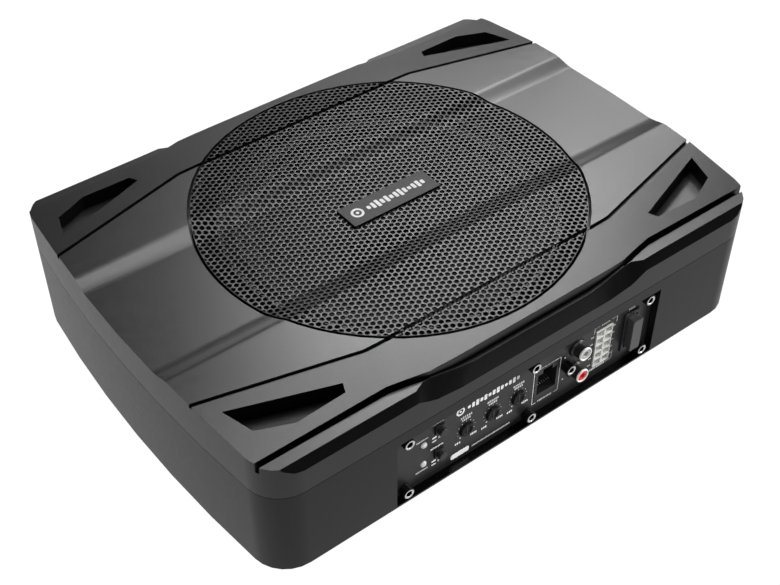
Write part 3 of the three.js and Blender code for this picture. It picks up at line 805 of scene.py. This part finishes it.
def add_mark(shape, left, middle, length, height, low, high):
    """Plain level-meter mark: a ring and a row of bars of different heights."""
    radius = height * 0.62
    ring_x = left + radius
    outer = circle(radius, 40, (ring_x, middle))
    inner = circle(radius * 0.62, 40, (ring_x, middle))
    corners = ((outer, low), (outer, high), (inner, high), (inner, low))
    shape.rings([lifted(ring, z) for ring, z in corners], closed=True)
    shape.slab(circle(radius * 0.26, 20, (ring_x, middle)), low, high)
    start = left + 2 * radius + height * 0.45
    step = (left + length - start) / len(MARK_HEIGHTS)
    for k, share in enumerate(MARK_HEIGHTS):
        x = start + k * step
        half = share * height / 2
        shape.slab(rounded_box((x, x + step * 0.68), (middle - half, middle + half), step * 0.2), low, high)


def add_felt_ring():
    """Black felt on the cover's ledge, seen through the holes near the rim."""
    low, high = GRILLE_LOW.z - FELT_T, GRILLE_LOW.z
    section = tube_section(FELT_INNER_R, GRILLE_R, low, high)
    Shape().lathe(section, 120).build("felt_ring", "felt")


def add_badge():
    low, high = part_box("grille_badge")
    plate = Shape()
    plate.slab(rounded_box((low.x, high.x), (low.y, high.y), 0.6 * MM), low.z, high.z)
    badge = plate.build("badge_plate", "badge", ["grille_badge"], "badge_plate")
    round_edges(badge, 0.25 * MM)
    mark = Shape()
    width = high.x - low.x
    add_mark(mark, low.x + 4.2 * MM, 0, width - 8.4 * MM, 6.2 * MM, high.z - 0.1 * MM, high.z + 0.12 * MM)
    mark.build("badge_mark", "white_print")


# ---- driver ----

WEDGES = 18


CURVE_STEPS = 4
WEDGE_STEPS = 6


def smooth_profile(points):
    """Catmull-Rom curve through profile points."""
    points = [Vector(p) for p in points]
    padded = [2 * points[0] - points[1], *points, 2 * points[-1] - points[-2]]
    curve = []
    for a, b, c, d in zip(padded, padded[1:], padded[2:], padded[3:]):
        for i in range(CURVE_STEPS):
            t = i / CURVE_STEPS
            bend = (2 * a - 5 * b + 4 * c - d) * t * t
            twist = (3 * b - a - 3 * c + d) * t**3
            curve.append(0.5 * (2 * b + (c - a) * t + bend + twist))
    return [tuple(p) for p in (*curve, points[-1])]


def skin_profile(line, thick):
    """Closed profile of even thickness hung below a line of (radius, height) points."""
    return [*line, *[(r, z - thick) for r, z in reversed(line)]]


def add_cone():
    low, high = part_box("cone")
    outer = high.x
    neck = 27.2 * MM
    line = smooth_profile([
        (neck, low.z + 1.5 * MM), (31 * MM, low.z + 2.6 * MM), (45 * MM, low.z + 6.6 * MM),
        (60 * MM, low.z + 11.4 * MM), (72 * MM, low.z + 16.4 * MM), (77 * MM, high.z), (outer, high.z),
    ])
    ribs = [(r, z + 0.25 * MM * math.sin(r / MM * 1.6) ** 2 * (34 * MM < r < 74 * MM)) for r, z in line]
    shape = Shape().lathe(skin_profile(ribs, 1.1 * MM), 128)
    shape.build("pressed_cone", "paper", ["cone"], "cone_paper", CONE_BODY)


def add_dust_cap():
    low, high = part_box("dust_cap")
    radius, rise = high.x, high.z - low.z - 1.2 * MM
    line = [(max(1e-5, radius * k / 16), high.z - rise * (k / 16) ** 2) for k in range(17)]
    shape = Shape().lathe(skin_profile(line, 1.0 * MM), 96)
    shape.build("domed_dust_cap", "paper", ["dust_cap"], "cone_paper", CONE_BODY)


def ring_wedge(profile, index, count):
    """One wedge of a turned ring, capped at both ends."""
    first = 2 * math.pi * index / count
    rings = []
    for k in range(WEDGE_STEPS + 1):
        angle = first + 2 * math.pi / count * k / WEDGE_STEPS
        rings.append([(*around(r, angle), z) for r, z in profile])
    return Shape().rings(rings)


def add_flexible_ring(name, node, profile, material, slot, count):
    """Ring cut into separate wedges between the basket and the cone, each left without a parent."""
    for index in range(count):
        shape = ring_wedge(profile, index, count)
        wedge = shape.build(f"{name}_{index + 1}", material, [node], slot)
        wedge.parent = None
        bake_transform(wedge)


def add_surround():
    low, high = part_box("surround")
    edge_in, edge_out = 80.5 * MM, 93.5 * MM
    centre, half = (edge_in + edge_out) / 2, (edge_out - edge_in) / 2
    rest = low.z + 1.1 * MM
    crown = high.z - rest
    turns = [math.pi * k / 12 for k in range(13)]
    roll = [(centre - half * math.cos(a), rest + crown * math.sin(a)) for a in turns]
    line = [(76.8 * MM, rest), *roll, (high.x, rest)]
    profile = skin_profile(line, 1.0 * MM)
    add_flexible_ring("surround_roll", "surround", profile, "rubber", "rubber", WEDGES)


def add_spider():
    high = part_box("spider")[1]
    inner, outer = 27.6 * MM, high.x
    line = []
    for k in range(41):
        r = inner + (outer - inner) * k / 40
        line.append((r, high.z - 0.7 * MM + 0.6 * MM * math.sin(k * math.pi / 4)))
    profile = skin_profile(line, 0.5 * MM)
    add_flexible_ring("spider_ring", "spider", profile, "spider_cloth", "spider_cloth", 8)


def add_turned_node(node, material, inner, chamfer=0.8 * MM):
    """Finely turned copy of a plain ring of the motor."""
    low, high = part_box(node)
    outer = high.x
    profile = [
        (inner, low.z), (outer - chamfer, low.z), (outer, low.z + chamfer),
        (outer, high.z - chamfer), (outer - chamfer, high.z), (inner, high.z),
    ]
    return Shape().lathe(profile, 96).build(f"turned_{node}", material, [node])


COIL_BORE_R, FORMER_R, WINDING_R = 25.4 * MM, 25.9 * MM, 25.95 * MM


def add_voice_coil():
    """Aluminium former with the winding near its lower end."""
    low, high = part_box("voice_coil")
    coil = Shape().lathe(tube_section(COIL_BORE_R, FORMER_R, low.z, high.z), 96)
    coil.finish = 1
    coil.lathe(tube_section(WINDING_R, high.x, low.z + 1 * MM, low.z + 12 * MM), 96)
    coil.build("wound_voice_coil", ["aluminium", "copper"], ["voice_coil"], "copper", CONE_BODY)


def add_driver():
    add_cone()
    add_dust_cap()
    add_surround()
    add_spider()
    add_voice_coil()
    round_edges(add_turned_node("magnet", "ferrite", 31 * MM), 0.1 * MM)
    round_edges(add_turned_node("top_plate", "steel", 28 * MM), 0.1 * MM)
    round_edges(add_turned_node("gasket", "rubber", 96 * MM, 0.3 * MM), 0.05 * MM)
    soften_node("basket", "black_steel", 0.3 * MM)
    soften_node("back_plate", "steel", 0.3 * MM)
    soften_node("terminal_strip", "black_plastic", 0.1 * MM)


# ---- electronics ----


def dress_electronics():
    finishes = {
        "board": ["amplifier_board"],
        "aluminium": ["heat_sink", "board_rail_front", "board_rail_back"],
        "copper": ["power_inductor"],
        "red_plastic": ["speaker_lead_positive"],
        "steel": ["phase_switch", "auto_on_switch"],
        "black_plastic": [
            "filter_capacitor_1", "filter_capacitor_2", "speaker_lead_negative",
            "low_pass_control", "bass_boost_control", "gain_control",
        ],
    }
    for material, names in finishes.items():
        for name in names:
            soften_node(name, material, 0.12 * MM, angle=40)


# ---- control panel ----


def panel_place(node):
    """Middle of a node as x and height."""
    centre = middle_of(node)
    return centre.x, centre.z


def panel_reach(node):
    """How far a node's outermost and innermost points stand out of the panel face."""
    low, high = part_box(node)
    return PANEL_FACE_Y - low.y, PANEL_FACE_Y - high.y


def add_panel_screws():
    for number in range(1, 8):
        name = f"panel_screw_{number}"
        tip, end = panel_reach(name)
        shape = cap_screw_shape(panel_place(name), half_width(name), tip, PANEL_SCREW_SEAT, end)
        shape.build_on_panel(f"{name}_turned", SCREW_FINISH, [name], "screw_head")


DIAL_RIBS = 24
DIAL_SIDES = 96
RIB_DEPTH = 0.3 * MM


def ribbed_ring(radius, centre, depth):
    """Circle whose edge rises and falls once for every rib of a dial."""
    ring = []
    for k in range(DIAL_SIDES):
        angle = 2 * math.pi * k / DIAL_SIDES
        r = radius - depth / 2 * (1 - math.cos(DIAL_RIBS * angle))
        ring.append(around(r, angle, centre))
    return ring


def add_dials():
    """Black knobs with knurled sides, a dished face and a screwdriver slot."""
    for name in ("low_pass", "bass_boost", "gain"):
        node = f"{name}_knob"
        x, z = panel_place(node)
        tip, end = panel_reach(node)
        radius = half_width(node)
        levels = [
            (0.99, RIB_DEPTH, end),
            (0.99, RIB_DEPTH, tip - 0.5 * MM),
            (0.92, RIB_DEPTH, tip),
            (0.7, RIB_DEPTH * 0.6, tip),
            (0.62, 0, tip - 0.5 * MM),
        ]
        shape = Shape().rings([
            lifted(ribbed_ring(radius * share, (x, z), depth), out) for share, depth, out in levels
        ])
        shape.finish = 1
        half_w, half_h = 0.35 * MM, radius * 0.56
        shape.box((x - half_w, x + half_w), (z - half_h, z + half_h), (tip - 0.6 * MM, tip - 0.3 * MM))
        dial = f"{name}_dial"
        shape.build_on_panel(dial, ["dial_plastic", "black_plastic"], [node], "black_plastic", dial)


BUTTON_FOOT_OUT = 1.2 * MM
BUTTON_CAP_R = 2.7 * MM
BUTTON_EDGE = [(1, 0.5), (0.95, 0.15), (0.8, 0)]  # share of the cap's radius, mm below its top


def add_buttons():
    """Push buttons: a round cap on a square foot."""
    for name in ("phase", "auto_on"):
        node = f"{name}_button"
        x, z = panel_place(node)
        tip, end = panel_reach(node)
        half = half_width(node)
        shape = Shape()
        foot = rounded_box((x - half, x + half), (z - half, z + half), 0.5 * MM, 5)
        shape.slab(foot, end, BUTTON_FOOT_OUT)
        levels = [(1, BUTTON_FOOT_OUT - 0.2 * MM)]
        levels += [(share, tip - drop * MM) for share, drop in BUTTON_EDGE]
        shape.rings([lifted(circle(BUTTON_CAP_R * share, 48, (x, z)), out) for share, out in levels])
        plastic = "black_plastic"
        cap = shape.build_on_panel(f"{name}_cap", plastic, [node], plastic, f"{name}_key")
        round_edges(cap, 0.1 * MM, 40)


LENS_RISE = 1.0 * MM


def add_lights():
    for name in ("power", "protect"):
        node = f"{name}_light"
        tip, end = panel_reach(node)
        radius = half_width(node)
        turns = [k * math.pi / 16 for k in range(8)]
        dome = [(radius * math.cos(a), tip - LENS_RISE + LENS_RISE * math.sin(a)) for a in turns]
        profile = [(0, end), (radius, end), *dome, (radius * 0.06, tip), (0, tip)]
        shape = Shape().lathe(profile, 40, panel_place(node))
        shape.build_on_panel(f"{name}_lens", "lens", [node], "light_lens")


COLLAR_PROFILE = [  # mm from the socket's axis, mm out of the panel
    (4.4, -2.6), (5.5, -2.6), (5.5, 1.1), (5.2, 1.5), (4.9, 1.5), (4.6, 1.9), (3.1, 1.9), (3.1, -2.6),
]
SLEEVE_END = [(4.3, 0.3), (4.1, 0), (3.6, 0), (3.4, 0.3)]  # mm from the axis, mm below the tip
INSERT_END = [(3.35, 0.6), (3.0, 0.25), (1.9, 0.25), (1.5, 0.6)]
PIN_END = [(1.45, 2.2), (1.2, 2), (0.75, 2.2)]
SLEEVE_R, SLEEVE_BORE_R = SLEEVE_END[0][0] * MM, SLEEVE_END[-1][0] * MM
SLEEVE_HIGHLIGHT_T = 1.0 * MM


def add_rca_sockets():
    """Two sockets on a black block. Each has a collar, a metal sleeve and an insert; the sleeve is painted
    black along its side as a painted dark reflection and white at its end as a painted highlight.
    """
    low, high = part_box("rca_block")
    block = Shape()
    block.slab(rounded_box((low.x, high.x), (low.z, high.z), 0.8 * MM), -14 * MM, -2.4 * MM)
    for side, colour in (("left", "grey_plastic"), ("right", "red_plastic")):
        centre = panel_place(f"rca_sleeve_{side}")
        tip, end = panel_reach(f"rca_sleeve_{side}")
        block.lathe([(r * MM, out * MM) for r, out in COLLAR_PROFILE], 64, centre)
        add_rca_sleeve(side, centre, tip, end)
        insert = Shape().lathe(tube_to_tip(INSERT_END, end, tip), 48, centre)
        insert.build_on_panel(f"rca_{side}_insert", colour, [f"rca_insert_{side}"])
        pin = Shape().lathe(tube_to_tip(PIN_END, end, tip), 32, centre)
        pin.build_on_panel(f"rca_{side}_contact", "contact")
    plastic = "black_plastic"
    round_edges(block.build_on_panel("rca_housing", plastic, ["rca_block"], plastic), 0.12 * MM)


def tube_to_tip(shaped_end, foot, tip):
    """Section of a tube from its foot up to an end of a given shape."""
    outer, inner = shaped_end[0][0] * MM, shaped_end[-1][0] * MM
    return [(inner, foot), (outer, foot), *[(r * MM, tip - drop * MM) for r, drop in shaped_end]]


def add_rca_sleeve(side, centre, tip, end):
    neck = tip - SLEEVE_HIGHLIGHT_T
    # The sleeve is metal: its side takes black plastic as a painted dark reflection, and its end white
    # plastic as a painted highlight
    sleeve = Shape().lathe(tube_section(SLEEVE_BORE_R, SLEEVE_R, end, neck), 64, centre)
    sleeve.finish = 1
    sleeve.lathe(tube_to_tip(SLEEVE_END, neck, tip), 64, centre)
    finishes = ["black_plastic", "white_plastic"]
    sleeve.build_on_panel(f"rca_{side}_sleeve", finishes, [f"rca_sleeve_{side}"], "bright_steel")


HEADER_ROWS, HEADER_COLUMNS = 5, 2
CELL_DEPTH = 2.4 * MM
CELL_WALL = 0.62 * MM
HEADER_PIN_HALF = 0.5 * MM


def add_power_connector():
    """Nylon header: a block with shallow cells, and a square pin in each."""
    low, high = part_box("power_connector")
    tip, end = panel_reach("power_connector")
    floor = tip - CELL_DEPTH
    step_x, step_z = (high.x - low.x) / HEADER_COLUMNS, (high.z - low.z) / HEADER_ROWS
    shape = Shape()
    shape.box((low.x, high.x), (low.z, high.z), (end, floor))
    xs = [low.x + k * step_x for k in range(HEADER_COLUMNS + 1)]
    zs = [low.z + k * step_z for k in range(HEADER_ROWS + 1)]
    for k, x in enumerate(xs):
        reach = (x - CELL_WALL * (k > 0), x + CELL_WALL * (k < HEADER_COLUMNS))
        shape.box(reach, (low.z, high.z), (floor, tip))
    for k, z in enumerate(zs):
        reach = (z - CELL_WALL * (k > 0), z + CELL_WALL * (k < HEADER_ROWS))
        for left, right in zip(xs, xs[1:]):
            shape.box((left + CELL_WALL, right - CELL_WALL), reach, (floor, tip - 0.02 * MM))
    body = shape.build_on_panel("power_header", "nylon", ["power_connector"], "white_plastic")
    round_edges(body, 0.12 * MM)
    pins = Shape()
    for x in xs[:-1]:
        for z in zs[:-1]:
            centre = (x + step_x / 2, z + step_z / 2)
            reach = [(v - HEADER_PIN_HALF, v + HEADER_PIN_HALF) for v in centre]
            pins.box(*reach, (floor - 0.2 * MM, floor + 0.5 * MM))
    round_edges(pins.build_on_panel("power_header_pins", "steel"), 0.1 * MM)


JACK_FLOOR_OUT = -13 * MM
JACK_CONTACTS = 6
CONTACT_PITCH = 1.6 * MM
CONTACT_HALF = 0.3 * MM
CONTACT_LINE = [(-11, 4.8), (-3, 4.8), (-2.2, 4.2), (-9, 1.6)]  # mm out of the panel, mm up the mouth


def add_remote_jack():
    """Modular jack: a stepped mouth with spring contacts."""
    low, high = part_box("remote_jack")
    tip, end = panel_reach("remote_jack")
    x0, x1, z0, z1 = low.x, high.x, low.z, high.z
    mouth_x, mouth_z = (x0 + 2 * MM, x1 - 2 * MM), (z0 + 2.6 * MM, z1 - 4.4 * MM)
    latch_x = (x0 + 5.5 * MM, x1 - 5.5 * MM)
    latch_top = z1 - 1.6 * MM
    shape = Shape()
    shape.box((x0, x1), (z0, z1), (end, JACK_FLOOR_OUT))
    for reach_x, reach_z in (
        ((x0, mouth_x[0]), (z0, z1)),
        ((mouth_x[1], x1), (z0, z1)),
        (mouth_x, (z0, mouth_z[0])),
        ((mouth_x[0], latch_x[0]), (mouth_z[1], z1)),
        ((latch_x[1], mouth_x[1]), (mouth_z[1], z1)),
        (latch_x, (latch_top, z1)),
    ):
        shape.box(reach_x, reach_z, (JACK_FLOOR_OUT, tip))
    plastic = "black_plastic"
    round_edges(shape.build_on_panel("modular_jack", plastic, ["remote_jack"], plastic), 0.15 * MM)
    contacts = Shape()
    for k in range(JACK_CONTACTS):
        x = (mouth_x[0] + mouth_x[1]) / 2 + (k - (JACK_CONTACTS - 1) / 2) * CONTACT_PITCH
        for stretch in zip(CONTACT_LINE, CONTACT_LINE[1:]):
            rings = []
            for out, up in stretch:
                low_z = mouth_z[0] + up * MM
                corners = [(x - CONTACT_HALF, low_z), (x + CONTACT_HALF, low_z)]
                corners += [(a, low_z + CONTACT_HALF) for a, _ in reversed(corners)]
                rings.append(lifted(corners, out * MM))
            contacts.rings(rings)
    contacts.build_on_panel("jack_contacts", "dull_contact")


FUSE_ROOM = 0.35 * MM
FUSE_FLOOR_OUT = -9.6 * MM
FUSE_WAIST = 0.3 * MM
BLADE_OFFSET = 6.6 * MM
BLADE_HALF_T, BLADE_HALF_W = 0.35 * MM, 2.5 * MM


def add_fuse():
    add_fuse_socket()
    low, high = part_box("blade_fuse")
    out = panel_reach("blade_fuse")[0]
    x, z = panel_place("blade_fuse")
    fuse = Shape()
    for inset, a, b in ((0, out - 2.2 * MM, out), (FUSE_WAIST, -1 * MM, out - 2.1 * MM)):
        reach_x, reach_z = (low.x + inset, high.x - inset), (low.z + inset, high.z - inset)
        fuse.slab(rounded_box(reach_x, reach_z, 0.8 * MM), a, b)
    fuse.finish = 1
    for blade in (z - BLADE_OFFSET, z + BLADE_OFFSET):
        reach_z = (blade - BLADE_HALF_W, blade + BLADE_HALF_W)
        fuse.box((x - BLADE_HALF_T, x + BLADE_HALF_T), reach_z, (-8.9 * MM, -0.9 * MM))
    finishes = ["fuse_plastic", "contact"]
    node, slot = "blade_fuse", "fuse_plastic"
    round_edges(fuse.build_on_panel("blade_fuse_moulding", finishes, [node], slot, "fuse"), 0.18 * MM)


def add_fuse_socket():
    low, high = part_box("fuse_holder")
    fuse_low, fuse_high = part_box("blade_fuse")
    tip, end = panel_reach("fuse_holder")
    inner_x = (fuse_low.x - FUSE_ROOM, fuse_high.x + FUSE_ROOM)
    inner_z = (fuse_low.z - FUSE_ROOM, fuse_high.z + FUSE_ROOM)
    holder = Shape()
    holder.box((low.x, high.x), (low.z, high.z), (end, FUSE_FLOOR_OUT))
    for reach_x, reach_z in (
        ((low.x, inner_x[0]), (low.z, high.z)),
        ((inner_x[1], high.x), (low.z, high.z)),
        (inner_x, (low.z, inner_z[0])),
        (inner_x, (inner_z[1], high.z)),
    ):
        holder.box(reach_x, reach_z, (FUSE_FLOOR_OUT, tip))
    plastic = "black_plastic"
    round_edges(holder.build_on_panel("fuse_socket", plastic, ["fuse_holder"], plastic), 0.2 * MM)


# ---- printing on the panel ----

INK = 0.06 * MM
SCALE_R = 6.0  # mm


class Print:
    """Flat marks on the panel face, in millimetres."""

    def __init__(self):
        self.shape = Shape()

    def bar(self, x0, x1, z0, z1):
        r = min(x1 - x0, z1 - z0) * 0.3 * MM
        self.shape.slab(rounded_box((x0 * MM, x1 * MM), (z0 * MM, z1 * MM), r, 2), -INK / 2, INK)

    def dot(self, x, z, r):
        self.shape.slab(circle(r * MM, 16, (x * MM, z * MM)), -INK / 2, INK)

    def words(self, x, z, length, height=1.5):
        """Row of short dashes where a label stands."""
        count = max(2, round(length / (height * 0.85)))
        step = length / count
        for k in range(count):
            left = x - length / 2 + k * step
            self.bar(left, left + step * 0.68, z - height / 2, z + height / 2)


def print_place(node):
    """Middle of a node as x and height in millimetres."""
    x, z = panel_place(node)
    return x / MM, z / MM


def add_dial_scale(ink, x, z):
    """Dots round a dial, with a larger one at each end of its travel."""
    for k in range(11):
        place = around(SCALE_R, math.radians(-50 + 28 * k), (x, z))
        ink.dot(*place, 0.55 if k in (0, 10) else 0.22)


def add_panel_print():
    strong, faint = Print(), Print()
    for name in ("low_pass", "bass_boost", "gain"):
        x, z = print_place(f"{name}_knob")
        add_dial_scale(strong, x, z)
        faint.words(x, z + 10.2, 8)
        faint.words(x, z + 8.1, 6)
        strong.words(x - 5.2, z - 8.0, 4)
        strong.words(x + 5.6, z - 7.0, 4.6)
    for name in ("phase", "auto_on"):
        x, z = print_place(f"{name}_button")
        strong.words(x - 1.2, z + 5.2, 8.5, 1.1)
        strong.bar(x - 4.6, x - 1.8, z - 5.6, z - 4.5)
        strong.bar(x - 4.6, x - 1.8, z - 8.2, z - 7.4)
        faint.words(x + 1.8, z - 6.8, 4.5)
    for name in ("power", "protect"):
        x, z = print_place(f"{name}_light")
        faint.words(x - 1, z + (4.3 if name == "power" else -4.5), 8, 1.1)
    add_mark(strong.shape, -49.5 * MM, 39.6 * MM, 44 * MM, 4.5 * MM, -INK / 2, INK)
    strong.bar(-52, -39.5, 4.6, 8.4)
    faint.words(-24, 6.2, 27, 1.1)
    add_jack_frame(strong, faint)
    add_socket_print(strong, faint)
    strong.shape.build_on_panel("panel_print", "white_print")
    faint.shape.build_on_panel("panel_fine_print", "soft_print")


def add_jack_frame(strong, faint):
    """Thin frame round the remote jack, open where its label stands."""
    low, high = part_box("remote_jack")
    x0, x1 = low.x / MM - 0.9, high.x / MM + 0.7
    z0, z1 = low.z / MM - 3.6, high.z / MM + 0.1
    line = 0.35
    strong.bar(x0, x0 + line, z0, z1)
    strong.bar(x1 - line, x1, z0, z1)
    strong.bar(x0 + 3.5, x1, z1 - line, z1)
    strong.bar(x0, x0 + 3, z0, z0 + line)
    strong.bar(x1 - 3, x1, z0, z0 + line)
    faint.words((x0 + x1) / 2, z0 + 0.4, 10.5, 1.2)


def add_socket_print(strong, faint):
    low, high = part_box("power_connector")
    x0, x1, z0, z1 = (v / MM for v in (low.x, high.x, low.z, high.z))
    line = 0.3
    left, right, foot, top = x0 - 1.6, x1 + 3.4, z0 - 2.4, z1 + 3.4
    faint.bar(left, x0 + 2.5, top, top + line)
    faint.bar(x1 - 1, right, top, top + line)
    faint.bar(left, left + line, z1 - 1, top)
    faint.bar(right - line, right, z1 - 1, top)
    faint.words((x0 + x1) / 2 + 0.8, z1 + 3.6, 6.5)
    faint.bar(right - line, right, foot, z0 + 4)
    faint.bar(x1 - 1.5, right, foot, foot + line)
    faint.words((x0 + x1) / 2 - 1.5, z0 - 2.2, 12)
    for row in range(HEADER_ROWS):
        z = z0 + (row + 0.5) * (z1 - z0) / HEADER_ROWS
        faint.words(x1 + 1.9, z, 1.8, 0.8)
        faint.words(x0 - 2.4, z, 2.4, 0.8)
    x, z = print_place("rca_sleeve_left")
    faint.words(x, z + 8.2, 14)
    for side in ("left", "right"):
        strong.dot(x - 8.4, print_place(f"rca_sleeve_{side}")[1] - 3, 0.6)
    faint.words(print_place("fuse_holder")[0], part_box("fuse_holder")[1].z / MM + 2, 5)


def add_panel():
    add_panel_screws()
    add_dials()
    add_buttons()
    add_lights()
    add_rca_sockets()
    add_power_connector()
    add_remote_jack()
    add_fuse()
    add_panel_print()


# ---- scene ----

add_camera()
add_studio()
add_floor()
dress_housing()
add_case_screws()
add_grille()
add_felt_ring()
add_badge()
add_driver()
dress_electronics()
add_panel()
light_panel()
